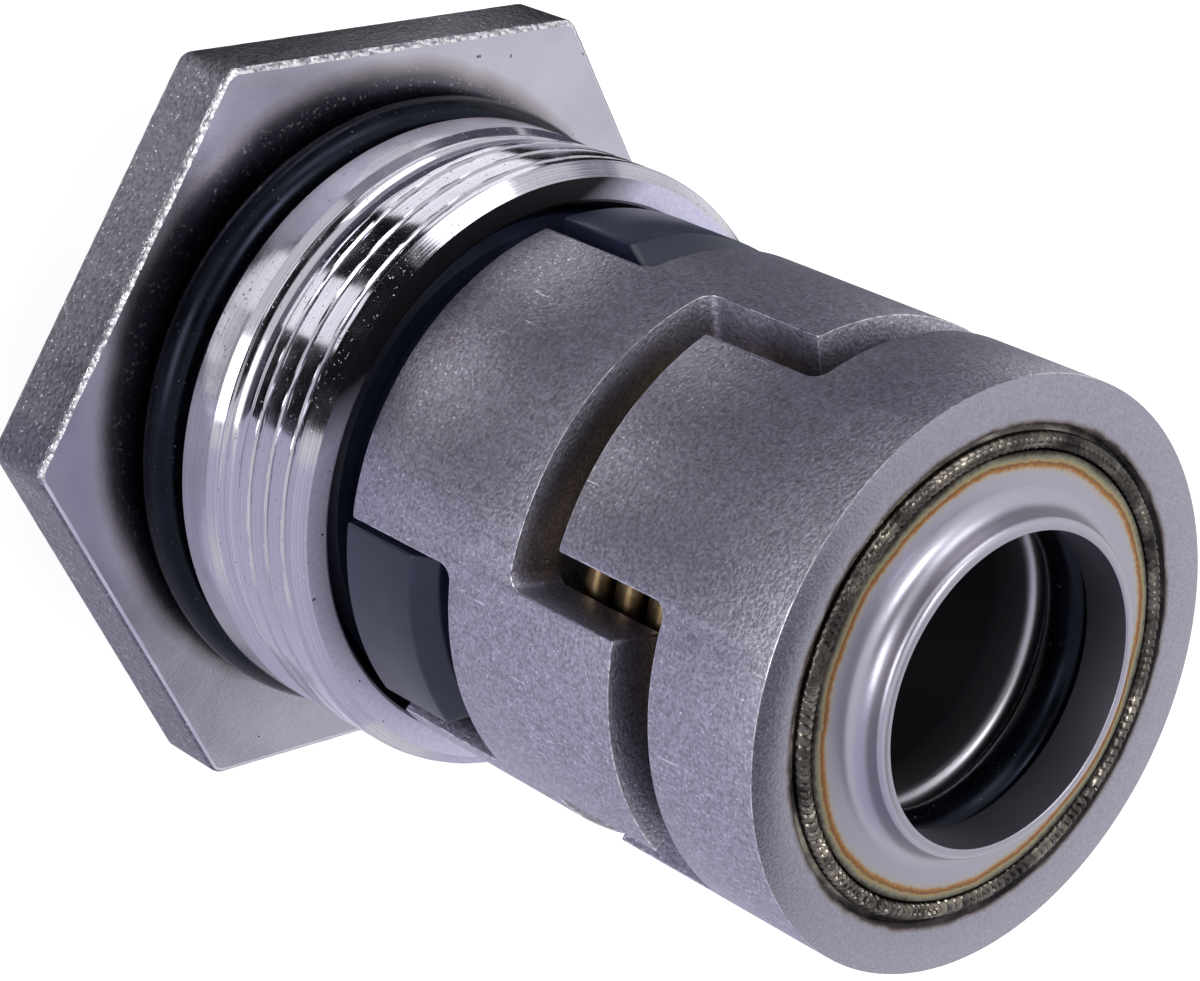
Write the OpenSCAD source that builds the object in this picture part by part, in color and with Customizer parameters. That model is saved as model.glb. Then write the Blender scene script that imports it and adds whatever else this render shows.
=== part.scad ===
// Cartridge mechanical seal for a pump shaft, in millimetres.
// The shaft axis is Z. The seal stands on its clamp collar at z = 0, with the drive end up.
// The skilled feature is the castellated drive: two rings whose teeth pass between each other
// with one even gap, and slide on each other against the spring.

/* [Shaft sleeve] */

// Bore of the sleeve, a clearance fit on the pump shaft
shaft_bore_d = 16.1; // [15.7:0.1:16.3]
// Wall of the sleeve tube
sleeve_wall = 0.95; // [0.85:0.05:1]
// Radius rolled on the inner edge of the sleeve mouth
sleeve_mouth_r = 0.6; // [0.3:0.05:0.8]
// Gap left between pieces that are pressed or welded together
press_gap = 0.02; // [0.01:0.01:0.04]

/* [Clamp collar] */

// Outside diameter of the clamp collar
collar_d = 25; // [24:0.1:25.6]
// Length of the clamp collar
collar_len = 9; // [8.4:0.1:10]
// Chamfer on the rims of the collar
collar_chamfer = 0.5; // [0.2:0.1:0.8]
// Gap round the retaining ring's ears in their recess
clip_side_gap = 0.3; // [0.1:0.05:0.5]
// Thickness of the retaining ring
clip_thick = 1.2; // [1:0.1:1.4]
// Distance of the retaining ring from the collar's end
clip_inset = 1; // [0.6:0.1:1.2]
// Depth of the ring's groove in the sleeve
clip_groove_depth = 0.5; // [0.3:0.05:0.6]
// Width of the retaining ring's band
clip_band = 1.8; // [1.4:0.1:2]
// Opening between the ends of the retaining ring, in degrees
clip_opening = 36; // [24:1:50]

/* [Set screws] */

// Number of set screws round the collar
screw_count = 3; // [3:1:3]
// Thread diameter of a set screw
screw_d = 5; // [4:0.5:5]
// Width across the flats of the hexagon socket
screw_socket = 2.5; // [2:0.25:2.5]
// Depth of the hexagon socket
screw_socket_depth = 1.8; // [1.2:0.1:2]
// How far a screw lies below the collar's outside
screw_sink = 0.35; // [0.2:0.05:0.6]
// Angle of the first set screw, in degrees
screw_turn = 30; // [0:5:90]

/* [Hexagon gland] */

// Width across the flats of the hexagon
hex_across_flats = 41; // [40:0.5:44]
// Thickness of the hexagon
hex_thick = 4.6; // [4:0.1:6]
// Radius of the hexagon's corners
hex_corner_r = 1; // [0.6:0.1:2]
// Gap between the clamp collar and the back of the hexagon
collar_gap = 0.5; // [0.3:0.1:0.9]
// Diameter of the threaded boss over its thread
boss_d = 34.3; // [34:0.1:35]
// Cord diameter of the O-ring in front of the hexagon
gland_cord = 2.6; // [2.4:0.1:2.7]
// Width of the O-ring's groove
gland_groove_w = 3.75; // [3.2:0.05:4.5]
// Depth of the O-ring's groove
gland_groove_depth = 2.05; // [1.9:0.05:2.2]
// Width of the plain land beside the groove, with its bevel
land_w = 2.85; // [2:0.05:4]
// Width of the bevel at the front of the land
land_bevel = 0.55; // [0.2:0.05:0.8]
// Width of the rounded relief behind the thread
relief_w = 2.3; // [1.8:0.1:2.8]
// Depth of the rounded relief
relief_depth = 0.85; // [0.5:0.05:1]
// Length of the thread, with its end chamfer
thread_len = 5.05; // [4.5:0.05:7]
// Chamfer at the end of the thread
thread_chamfer = 0.75; // [0.4:0.05:1]

/* [Stationary seat] */

// Diameter of the pocket that the seat lies in
pocket_d = 28.1; // [27.8:0.1:28.4]
// Depth of the pocket from the end of the boss
pocket_depth = 8.55; // [8.3:0.05:9]
// Diameter of the pocket's mouth
pocket_mouth_d = 30.2; // [29.6:0.1:30.8]
// Depth of the cone at the pocket's mouth
pocket_mouth_depth = 2.65; // [1.5:0.05:3]
// Gap between the sleeve and the gland's bore
gland_bore_gap = 0.7; // [0.5:0.05:0.8]
// Gap round the seat in its pocket
seat_gap = 0.1; // [0.06:0.01:0.15]
// How far the sealing face lies below the end of the boss
seat_recess = 1.35; // [1:0.05:1.6]
// Length of the narrow back of the seat
seat_back_len = 2.9; // [2.6:0.1:3.2]
// Cord diameter of the O-ring behind the seat
seat_cord = 1.78; // [1.6:0.02:1.9]
// Diameter of the pin that stops the seat from turning
seat_pin_d = 1.5; // [1:0.1:1.6]
// Length of the pin that stands out of the pocket's floor
seat_pin_out = 1.2; // [0.8:0.1:1.5]
// Depth of the pin's hole in the gland
seat_pin_in = 2.2; // [1.5:0.1:3]

/* [Rotating ring] */

// Width of the sealing face
ring_face_w = 2.1; // [1.5:0.1:2.4]
// Height of the relief inside the sealing face
ring_nose_h = 1.2; // [0.8:0.1:2]
// Gap between the ring and the sleeve
ring_sleeve_gap = 0.35; // [0.25:0.05:0.4]
// Cord diameter of the O-ring inside the ring
ring_cord = 2.15; // [2:0.05:2.2]
// Gap round the ring's O-ring
ring_cord_gap = 0.1; // [0.08:0.01:0.13]
// Depth of the O-ring's seat in the ring
ring_cord_seat = 3.5; // [3:0.1:4]
// Width of each driving lug, in degrees
lug_angle = 40.5; // [38:0.5:42]
// How far the lugs lean towards one side of their notches, in degrees
lug_lean = 2; // [0:0.1:2.5]
// Height of each driving lug
lug_h = 6.35; // [5:0.05:7]
// Chamfer on the top outer edge of a lug
lug_chamfer = 1.1; // [0.5:0.1:1.5]
// How far a lug lies below the carrier's outside
lug_sink = 0.05; // [0.02:0.01:0.3]
// How far a lug stands out past the carrier's lower edge
lug_drop = 0.45; // [0.1:0.05:0.8]

/* [Castellated drive] */

// Wall of the carrier's and the housing's teeth
driver_wall = 3.25; // [3:0.05:3.4]
// Teeth round each ring
drive_count = 3; // [3:1:3]
// Angle of the first tooth of the housing, in degrees
drive_turn = -12.7; // [-60:0.1:60]
// Width of a tooth of the housing, in degrees
housing_tooth = 49.7; // [45:0.1:55]
// Gap beside each tooth, in degrees
drive_side_gap = 10.5; // [8:0.1:12]
// Gap at the end of each tooth
drive_end_gap = 2.8; // [2.6:0.1:3.2]
// Depth of the notches between the teeth
drive_notch = 7.75; // [6.5:0.05:9]

/* [Ring carrier] */

// Gap between the end of the boss and the carrier
carrier_gap = 2.15; // [1.6:0.05:2.5]
// Length of the carrier
carrier_len = 20.15; // [19.6:0.05:21]
// Depth of the lower notches that take the ring's lugs
lug_notch = 8; // [7.6:0.1:8.2]
// Gap on each side of a lug in its notch when it doesn't lean, in degrees
lug_side_gap = 3.5; // [2.8:0.1:4]
// Angle from a tooth of the housing to the next notch for a lug, in degrees
lug_turn = 61.1; // [50:0.1:70]
// Thickness of the web that the spring stands on
carrier_web = 2.1; // [1.8:0.1:2.4]
// Depth of the spring's seat below the floor of the notches
spring_seat_drop = 0.3; // [0.2:0.05:0.5]
// Sliding clearance between the carrier's web and the sleeve
carrier_slide_gap = 0.08; // [0.04:0.01:0.1]
// Wall of the carrier round the rotating ring
carrier_skirt = 2.35; // [2.2:0.05:2.5]
// Gap between the ring's body and the carrier's wall
carrier_ring_gap = 0.3; // [0.2:0.05:0.4]

/* [Spring housing] */

// Height of the closed band above the housing's notches
housing_band = 7.15; // [6.9:0.05:8]
// Height of the web's lower face above the notches
housing_web_lift = 0.7; // [0.3:0.1:0.9]
// Thickness of the web that the spring pushes on
housing_web = 2; // [1.5:0.1:2.2]
// Diameter of the recess that the weld lies in
weld_recess_d = 25.6; // [25.2:0.1:26.4]

/* [Spring] */

// Wire diameter of the spring
spring_wire = 1.95; // [1.6:0.05:2]
// Gap between the spring and the sleeve inside it
spring_bore_gap = 0.63; // [0.4:0.01:0.7]
// Gap between the spring and the wall outside it
spring_wall_gap = 0.42; // [0.3:0.01:0.5]
// Turns of the spring
spring_turns = 4; // [3:0.25:4]
// Angle at which the spring's lower end lies, in degrees
spring_start = -105; // [-180:5:180]

/* [Drive cap and O-ring] */

// Thickness of the cap's flange
cap_thick = 0.9; // [0.6:0.05:1.1]
// Diameter of the cap's flange
cap_d = 23; // [22.8:0.1:23.6]
// Height of the neck above the flange
neck_h = 1.7; // [1.4:0.1:2.4]
// Wall of the neck
neck_wall = 0.65; // [0.6:0.05:0.8]
// Radius at the foot of the neck
neck_foot_r = 1.1; // [0.6:0.1:1.4]
// Diameter of the weld's rounded top
bead_d = 0.9; // [0.6:0.05:1]
// Height of the centre of the weld's round below the end face
bead_drop = 0.15; // [0.1:0.05:0.4]
// Cord diameter of the O-ring that seals on the shaft
shaft_cord = 3.2; // [2.9:0.05:3.3]
// How far that O-ring reaches into the bore
shaft_cord_nip = 0.2; // [0.05:0.05:0.22]

/* [Hidden] */

$fn = 96;
over = 1;
screw_gap = 0.05;
clip_gap = 0.05;
pin_gap = 0.02;

bore_r = shaft_bore_d / 2;
sleeve_r = bore_r + sleeve_wall;
collar_r = collar_d / 2;
collar_bore_r = sleeve_r + press_gap;
clip_top = clip_inset + clip_thick;
clip_groove_r = sleeve_r - clip_groove_depth;
clip_ear_r = 0.75 * clip_band;
clip_ear_hole_r = 0.36 * clip_band;
clip_ear_at = clip_groove_r + clip_ear_r;
clip_recess_r = clip_ear_at + clip_ear_r + clip_side_gap;
sleeve_z0 = clip_inset / 5;
screw_r = screw_d / 2 - screw_gap;
screw_hole_r = screw_d / 2;
screw_z = (clip_top + collar_len) / 2;
screw_tip = bore_r + 0.1;
screw_end = collar_r - screw_sink;

hex_z = collar_len + collar_gap;
hex_top = hex_z + hex_thick;
boss_r = boss_d / 2;
groove_r = boss_r - gland_groove_depth;
groove_top = hex_top + gland_groove_w;
land_top = groove_top + land_w;
relief_top = land_top + relief_w;
boss_end = relief_top + thread_len;
gland_bore_r = sleeve_r + gland_bore_gap;
pocket_r = pocket_d / 2;
pocket_floor = boss_end - pocket_depth;

seat_face = boss_end - seat_recess;
seat_r = pocket_r - seat_gap;
seat_bore_r = gland_bore_r + 0.25;
seat_back_r = pocket_r - seat_cord - 0.07;
seat_z0 = pocket_floor + seat_gap;
seat_step = seat_z0 + seat_back_len;
seat_pin_at = (seat_bore_r + seat_back_r) / 2;

spring_r = sleeve_r + spring_bore_gap + spring_wire / 2;
tooth_r = spring_r + spring_wire / 2 + spring_wall_gap;
driver_r = tooth_r + driver_wall;
carrier_z0 = boss_end + carrier_gap;
carrier_top = carrier_z0 + carrier_len;
carrier_floor = carrier_top - drive_notch;
carrier_seat = carrier_floor - spring_seat_drop;
web_under = carrier_seat - carrier_web;
lug_floor = carrier_z0 + lug_notch;
carrier_bore_r = sleeve_r + carrier_slide_gap;

ring_r = driver_r - carrier_skirt - carrier_ring_gap;
ring_face_r = ring_r - ring_face_w;
ring_bore_r = sleeve_r + ring_sleeve_gap;
ring_cord_r = sleeve_r + ring_cord_gap + ring_cord / 2;
ring_seat_r = ring_cord_r + ring_cord / 2 + ring_cord_gap;
lug_z0 = carrier_z0 - lug_drop;
lug_top = lug_z0 + lug_h;
lug_r = driver_r - lug_sink;

housing_z0 = carrier_floor + drive_end_gap;
housing_floor = carrier_top + drive_end_gap;
end_face = housing_floor + housing_band;
housing_web_z0 = housing_floor + housing_web_lift;
housing_web_top = housing_web_z0 + housing_web;
cap_z0 = end_face - cap_thick;
cap_r = cap_d / 2;
chamber_r = bore_r - shaft_cord_nip + shaft_cord + 0.1;
bead_at = cap_r + bead_d / 2;

spring_gap = 0.02;
spring_z0 = carrier_seat + spring_gap + spring_wire / 2;
spring_z1 = housing_web_z0 - spring_gap - spring_wire / 2;
spring_steps = 36;
spring_sides = 8;

// Colours of the pieces in plain views
cast_grey = [0.55, 0.55, 0.60];
sinter_grey = [0.46, 0.45, 0.48];
steel_grey = [0.70, 0.69, 0.71];
weld_grey = [0.36, 0.34, 0.35];
ceramic_slate = [0.24, 0.26, 0.34];
rubber_black = [0.08, 0.09, 0.13];
spring_bronze = [0.60, 0.47, 0.28];

// A round hollow bar from z0 to z1
module tube(r_out, r_in, z0, z1) {
    difference() {
        translate([0, 0, z0])
            cylinder(h = z1 - z0, r = r_out);
        translate([0, 0, z0 - over])
            cylinder(h = z1 - z0 + 2 * over, r = r_in);
    }
}

// An O-ring that lies flat round the shaft axis
module o_ring(r, cord, z) {
    rotate_extrude()
        translate([r, z])
            circle(d = cord);
}

// A piece of a ring between two angles
module sector(r_in, r_out, from, to, z0, z1) {
    rotate([0, 0, from])
        rotate_extrude(angle = to - from)
            translate([r_in, z0])
                square([r_out - r_in, z1 - z0]);
}

// A notch through a ring's wall, with its mouth open at one end
module notch(middle, width, floor_z, mouth_z) {
    up = mouth_z > floor_z ? 1 : -1;
    mouth = mouth_z + up * over;
    sector(tooth_r - over, driver_r + over, middle - width / 2, middle + width / 2,
        min(floor_z, mouth), max(floor_z, mouth));
}

// Outline of the hexagon with rounded corners and a flat facing +X
module rounded_hexagon() {
    core = (hex_across_flats / 2 - hex_corner_r) / cos(30);
    side = core;
    rotate(30)
        circle(r = core, $fn = 6);
    for (k = [0:5])
        rotate(60 * k) {
            translate([core * cos(30), -side / 2])
                square([hex_corner_r, side]);
            rotate(30)
                translate([core, 0])
                    circle(r = hex_corner_r);
        }
}

// Half section of the boss in front of the hexagon, with its groove, land, relief and thread
module boss_section() {
    half = relief_w / 2;
    arc_r = (half * half + relief_depth * relief_depth) / (2 * relief_depth);
    bevel_in = land_bevel * 0.55;
    difference() {
        polygon([
            [gland_bore_r, hex_z],
            [groove_r, hex_z],
            [groove_r, groove_top],
            [boss_r, groove_top],
            [boss_r, land_top - land_bevel],
            [boss_r - bevel_in, land_top],
            [boss_r - bevel_in, land_top + half],
            [boss_r, land_top + half],
            [boss_r, boss_end - thread_chamfer],
            [boss_r - thread_chamfer, boss_end],
            [pocket_mouth_d / 2, boss_end],
            [pocket_r, boss_end - pocket_mouth_depth],
            [pocket_r, pocket_floor],
            [gland_bore_r, pocket_floor]
        ]);
        translate([boss_r - relief_depth + arc_r, land_top + half])
            circle(r = arc_r);
    }
}

module hex_gland() {
    color(cast_grey)
        difference() {
            union() {
                difference() {
                    translate([0, 0, hex_z])
                        linear_extrude(height = hex_thick)
                            rounded_hexagon();
                    translate([0, 0, hex_z - over])
                        cylinder(h = hex_thick + 2 * over, r = gland_bore_r);
                }
                rotate_extrude()
                    boss_section();
            }
            translate([seat_pin_at, 0, pocket_floor - seat_pin_in])
                cylinder(h = seat_pin_in + over, r = seat_pin_d / 2 + pin_gap);
        }
}

module gland_o_ring() {
    color(rubber_black)
        o_ring(groove_r + 0.05 + gland_cord / 2, gland_cord, hex_top + 0.1 + gland_cord / 2);
}

module stationary_seat() {
    color(ceramic_slate)
        difference() {
            rotate_extrude()
                polygon([
                    [seat_bore_r, seat_z0],
                    [seat_back_r, seat_z0],
                    [seat_back_r, seat_step],
                    [seat_r, seat_step],
                    [seat_r, seat_face - 0.5],
                    [seat_r - 0.5, seat_face],
                    [seat_bore_r, seat_face]
                ]);
            translate([seat_pin_at, 0, seat_z0 - over])
                cylinder(h = over + seat_pin_out + 0.2, r = seat_pin_d / 2 + seat_gap);
        }
}

module seat_o_ring() {
    color(rubber_black)
        o_ring((seat_back_r + pocket_r) / 2, seat_cord, (seat_z0 + seat_step) / 2);
}

module seat_pin() {
    color(steel_grey)
        translate([seat_pin_at, 0, pocket_floor - seat_pin_in + 0.1])
            cylinder(h = seat_pin_in - 0.1 + seat_pin_out, r = seat_pin_d / 2);
}

// Places a child on the axis of one set screw, with its z axis pointing outwards
module at_screw(k) {
    translate([0, 0, screw_z])
        rotate([0, 0, screw_turn + k * 360 / screw_count])
            rotate([0, 90, 0])
                children();
}

module shaft_sleeve() {
    top = housing_web_top - clip_gap;
    round_at = bore_r + sleeve_mouth_r;
    color(steel_grey)
        difference() {
            rotate_extrude()
                difference() {
                    translate([bore_r, sleeve_z0])
                        square([sleeve_wall, top - sleeve_z0]);
                    translate([clip_groove_r, clip_inset - clip_gap])
                        square([sleeve_wall, clip_thick + 2 * clip_gap]);
                    difference() {
                        translate([bore_r - over, top - sleeve_mouth_r])
                            square([over + sleeve_mouth_r, sleeve_mouth_r + over]);
                        translate([round_at, top - sleeve_mouth_r])
                            circle(r = sleeve_mouth_r);
                    }
                }
            for (k = [0:screw_count - 1])
                at_screw(k)
                    cylinder(h = collar_r, r = screw_hole_r + screw_gap);
        }
}

module clamp_collar() {
    color(steel_grey)
        difference() {
            rotate_extrude()
                polygon([
                    [clip_recess_r, 0],
                    [collar_r - collar_chamfer, 0],
                    [collar_r, collar_chamfer],
                    [collar_r, collar_len - collar_chamfer],
                    [collar_r - collar_chamfer, collar_len],
                    [collar_bore_r, collar_len],
                    [collar_bore_r, clip_top],
                    [clip_recess_r, clip_top]
                ]);
            for (k = [0:screw_count - 1])
                at_screw(k)
                    cylinder(h = collar_r + over, r = screw_hole_r);
        }
}

module retaining_ring() {
    reach = 2 * clip_recess_r;
    ear_turn = clip_opening / 2 + asin(clip_ear_r / clip_ear_at);
    color(steel_grey)
        translate([0, 0, clip_inset])
            linear_extrude(height = clip_thick)
                difference() {
                    union() {
                        circle(r = clip_groove_r + clip_band);
                        for (side = [-1, 1])
                            rotate(side * ear_turn)
                                translate([clip_ear_at, 0])
                                    circle(r = clip_ear_r);
                    }
                    circle(r = clip_groove_r + press_gap);
                    polygon([
                        [0, 0],
                        [reach * cos(clip_opening / 2), -reach * sin(clip_opening / 2)],
                        [reach * cos(clip_opening / 2), reach * sin(clip_opening / 2)]
                    ]);
                    for (side = [-1, 1])
                        rotate(side * ear_turn)
                            translate([clip_ear_at, 0])
                                circle(r = clip_ear_hole_r);
                }
}

module set_screw(k) {
    length = screw_end - screw_tip;
    point = 0.6;
    color(steel_grey)
        at_screw(k)
            translate([0, 0, screw_tip])
                difference() {
                    union() {
                        cylinder(h = point, r1 = screw_r - point, r2 = screw_r);
                        translate([0, 0, point])
                            cylinder(h = length - point, r = screw_r);
                    }
                    translate([0, 0, length - screw_socket_depth])
                        cylinder(h = screw_socket_depth + over, d = screw_socket / cos(30), $fn = 6);
                }
}

module drive_notches(floor_z, mouth_z, middle, width) {
    for (k = [0:drive_count - 1])
        notch(middle + k * 360 / drive_count, width, floor_z, mouth_z);
}

module ring_carrier() {
    pitch = 360 / drive_count;
    color(sinter_grey)
        difference() {
            rotate_extrude()
                polygon([
                    [carrier_bore_r, web_under],
                    [ring_r + carrier_ring_gap, web_under],
                    [ring_r + carrier_ring_gap, carrier_z0],
                    [driver_r, carrier_z0],
                    [driver_r, carrier_top],
                    [tooth_r, carrier_top],
                    [tooth_r, carrier_seat],
                    [carrier_bore_r, carrier_seat]
                ]);
            drive_notches(carrier_floor, carrier_top, drive_turn, housing_tooth + 2 * drive_side_gap);
            drive_notches(lug_floor, carrier_z0, drive_turn + lug_turn, lug_angle + 2 * lug_side_gap);
        }
}

module rotating_ring() {
    first_lug = drive_turn + lug_turn - lug_lean - lug_angle / 2;
    color(ceramic_slate)
        union() {
            rotate_extrude()
                polygon([
                    [ring_face_r, seat_face],
                    [ring_r, seat_face],
                    [ring_r, web_under],
                    [ring_seat_r, web_under],
                    [ring_seat_r, web_under - ring_cord_seat],
                    [ring_bore_r, web_under - ring_cord_seat],
                    [ring_bore_r, seat_face + ring_nose_h],
                    [ring_face_r, seat_face + ring_nose_h]
                ]);
            for (k = [0:drive_count - 1])
                rotate([0, 0, first_lug + k * 360 / drive_count])
                    rotate_extrude(angle = lug_angle)
                        polygon([
                            [ring_r - ring_face_w / 2, lug_z0],
                            [lug_r, lug_z0],
                            [lug_r, lug_top - lug_chamfer],
                            [lug_r - lug_chamfer, lug_top],
                            [ring_r - ring_face_w / 2, lug_top]
                        ]);
        }
}

module ring_o_ring() {
    color(rubber_black)
        o_ring(ring_cord_r, ring_cord, web_under - ring_cord_seat / 2);
}

module spring_housing() {
    color(sinter_grey)
        difference() {
            rotate_extrude()
                polygon([
                    [tooth_r, housing_z0],
                    [driver_r, housing_z0],
                    [driver_r, end_face],
                    [weld_recess_d / 2, end_face],
                    [weld_recess_d / 2, cap_z0],
                    [chamber_r, cap_z0],
                    [chamber_r, housing_web_top],
                    [sleeve_r + press_gap, housing_web_top],
                    [sleeve_r + press_gap, housing_web_z0],
                    [tooth_r, housing_web_z0]
                ]);
            drive_notches(housing_floor, housing_z0, drive_turn + 180 / drive_count,
                360 / drive_count - housing_tooth);
        }
}

module shaft_o_ring() {
    color(rubber_black)
        o_ring(bore_r - shaft_cord_nip + shaft_cord / 2, shaft_cord, (housing_web_top + cap_z0) / 2);
}

module drive_cap() {
    lip_r = neck_wall / 2;
    neck_r = bore_r + neck_wall;
    lip_z = end_face + neck_h - lip_r;
    color(steel_grey)
        rotate_extrude() {
            translate([bore_r, cap_z0])
                square([cap_r - bore_r, cap_thick]);
            translate([bore_r, cap_z0])
                square([neck_wall, lip_z - cap_z0]);
            translate([bore_r + lip_r, lip_z])
                circle(r = lip_r);
            difference() {
                translate([neck_r, end_face])
                    square(neck_foot_r);
                translate([neck_r + neck_foot_r, end_face + neck_foot_r])
                    circle(r = neck_foot_r);
            }
        }
}

module weld_bead() {
    color(weld_grey)
        rotate_extrude() {
            translate([cap_r + press_gap, cap_z0])
                square([weld_recess_d / 2 - press_gap - cap_r - press_gap, cap_thick / 2]);
            difference() {
                translate([bead_at + press_gap, end_face - bead_drop])
                    circle(d = bead_d);
                translate([bead_at - bead_d, cap_z0 - bead_d])
                    square([2 * bead_d, bead_d]);
            }
        }
}

// One point of the spring's surface: step along the wire, then side round the wire
function spring_point(step, side) =
    let (
        turn = spring_start + 360 * spring_turns * step / (spring_turns * spring_steps),
        rise = spring_z0 + (spring_z1 - spring_z0) * step / (spring_turns * spring_steps),
        about = 360 * side / spring_sides,
        r = spring_r + spring_wire / 2 * cos(about)
    )
    [r * cos(turn), r * sin(turn), rise + spring_wire / 2 * sin(about)];

module spring() {
    last = spring_turns * spring_steps;
    points = [for (i = [0:last], j = [0:spring_sides - 1]) spring_point(i, j)];
    skin = [
        for (i = [0:last - 1], j = [0:spring_sides - 1])
            let (a = i * spring_sides + j, b = i * spring_sides + (j + 1) % spring_sides)
            each [[a, b, b + spring_sides], [a, b + spring_sides, a + spring_sides]]
    ];
    start_face = [for (j = [spring_sides - 1:-1:0]) j];
    end_face_points = [for (j = [0:spring_sides - 1]) last * spring_sides + j];
    color(spring_bronze)
        polyhedron(points = points, faces = concat(skin, [start_face, end_face_points]), convexity = 10);
}

hex_gland();
gland_o_ring();
stationary_seat();
seat_o_ring();
seat_pin();
shaft_sleeve();
clamp_collar();
retaining_ring();
set_screw(0);  // set_screw_1
set_screw(1);  // set_screw_2
set_screw(2);  // set_screw_3
rotating_ring();
ring_o_ring();
ring_carrier();
spring();
spring_housing();
shaft_o_ring();
drive_cap();
weld_bead();
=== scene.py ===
import bmesh
import bpy
from math import atan2, cos, degrees, floor, hypot, pi, radians, sin, sqrt, tan
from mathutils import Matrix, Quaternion, Vector, noise


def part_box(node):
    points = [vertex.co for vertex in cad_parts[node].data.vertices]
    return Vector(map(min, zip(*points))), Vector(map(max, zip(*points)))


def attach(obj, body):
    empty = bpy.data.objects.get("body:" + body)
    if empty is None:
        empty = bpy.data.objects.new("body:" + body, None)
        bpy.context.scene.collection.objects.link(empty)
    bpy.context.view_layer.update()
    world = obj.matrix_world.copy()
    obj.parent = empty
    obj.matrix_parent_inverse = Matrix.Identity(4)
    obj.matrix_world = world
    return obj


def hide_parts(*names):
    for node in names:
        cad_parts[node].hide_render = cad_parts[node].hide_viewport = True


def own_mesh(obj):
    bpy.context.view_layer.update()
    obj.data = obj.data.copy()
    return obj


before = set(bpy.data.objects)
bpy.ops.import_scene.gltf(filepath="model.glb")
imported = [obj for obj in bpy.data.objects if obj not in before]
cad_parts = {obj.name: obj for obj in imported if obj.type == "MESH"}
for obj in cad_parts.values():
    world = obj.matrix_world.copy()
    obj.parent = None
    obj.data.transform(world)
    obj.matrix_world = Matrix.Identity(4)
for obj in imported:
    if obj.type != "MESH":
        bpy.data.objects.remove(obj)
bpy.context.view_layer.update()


# The gland: one stainless casting, with a hexagon for the spanner and a boss that screws into
# the pump. The hexagon's sides keep the grain of the mould, its face is blasted, and the boss is
# turned bright, with a groove for the O-ring, a plain land, a rounded relief and three turns of thread.


def reach(solid):
    """Lowest and highest corner of a solid, in millimetres."""
    low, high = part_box(solid)
    return low * 1000, high * 1000


def rounded(points, steps=4):
    """An outline whose corners, given as (across, up, radius), are turned into arcs."""
    outline = []
    for i, point in enumerate(points):
        here = Vector(point[:2])
        if len(point) < 3 or not point[2]:
            outline.append(tuple(here))
            continue
        before = (Vector(points[i - 1][:2]) - here).normalized()
        after = (Vector(points[(i + 1) % len(points)][:2]) - here).normalized()
        half = before.angle(after) / 2
        centre = here + (before + after).normalized() * point[2] / sin(half)
        start = here + before * point[2] / tan(half) - centre
        end = here + after * point[2] / tan(half) - centre
        turn = atan2(start.x * end.y - start.y * end.x, start.dot(end))
        for k in range(steps + 1):
            angle = turn * k / steps
            outline.append((centre.x + start.x * cos(angle) - start.y * sin(angle),
                            centre.y + start.x * sin(angle) + start.y * cos(angle)))
    return outline


def draw(bm, outline, closed=True):
    """Draws an outline of (across, up) points as edges in the plane of the shaft axis."""
    verts = [bm.verts.new((across, 0, up)) for across, up in outline]
    ends = verts[1:] + verts[:1] if closed else verts[1:]
    return verts, [bm.edges.new(pair) for pair in zip(verts, ends)]


def turn(bm, outline, closed=True, steps=240):
    """Turns a half section, given as (radius, height) points, about the shaft axis."""
    verts, edges = draw(bm, outline, closed)
    bmesh.ops.spin(bm, geom=verts + edges, cent=(0, 0, 0), axis=(0, 0, 1), angle=2 * pi,
                   steps=steps, use_merge=True)


def piece(name, bm, body, solids, slot_name, *materials, sharp=35):
    """Makes an object of a mesh drawn in millimetres, in place of its solids."""
    bmesh.ops.recalc_face_normals(bm, faces=bm.faces)
    bmesh.ops.scale(bm, vec=(0.001, 0.001, 0.001), verts=bm.verts)
    mesh = bpy.data.meshes.new(name)
    bm.to_mesh(mesh)
    bm.free()
    for material in materials:
        mesh.materials.append(material)
    mesh.shade_smooth()
    mesh.set_sharp_from_angle(angle=radians(sharp))
    made = bpy.data.objects.new(name, mesh)
    bpy.context.collection.objects.link(made)
    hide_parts(*solids)
    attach(made, body)
    return made


def tint(hexa):
    """Linear colour of an sRGB hex value."""
    channels = [int(hexa[i:i + 2], 16) / 255 for i in (1, 3, 5)]
    return [c / 12.92 if c <= 0.04045 else ((c + 0.055) / 1.055) ** 2.4 for c in channels] + [1]


def per(size_mm):
    """Scale at which a pattern on coordinates in metres repeats about every so many millimetres."""
    return 1000 / size_mm


def plug(tree, node, inputs):
    """Links or sets a node's inputs."""
    for name, value in inputs.items():
        if isinstance(value, bpy.types.NodeSocket):
            tree.links.new(value, node.inputs[name])
        else:
            node.inputs[name].default_value = value


def add(tree, kind, inputs=None, stops=(), **settings):
    """Adds a node with its settings, its inputs and, on a colour ramp, its (place, sRGB hex) stops."""
    made = tree.nodes.new(kind)
    for name, value in settings.items():
        setattr(made, name, value)
    for k, (at, hexa) in enumerate(stops):
        element = made.color_ramp.elements[k] if k < 2 else made.color_ramp.elements.new(at)
        element.position = at
        element.color = tint(hexa)
    plug(tree, made, inputs or {})
    return made


def start(name, metallic):
    """A new material, its tree, its surface shader and its object coordinates."""
    material = bpy.data.materials.new(name)
    material.use_nodes = True
    tree = material.node_tree
    surface = tree.nodes["Principled BSDF"]
    surface.inputs["Metallic"].default_value = metallic
    return material, tree, surface, add(tree, "ShaderNodeTexCoord").outputs["Object"]


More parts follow.
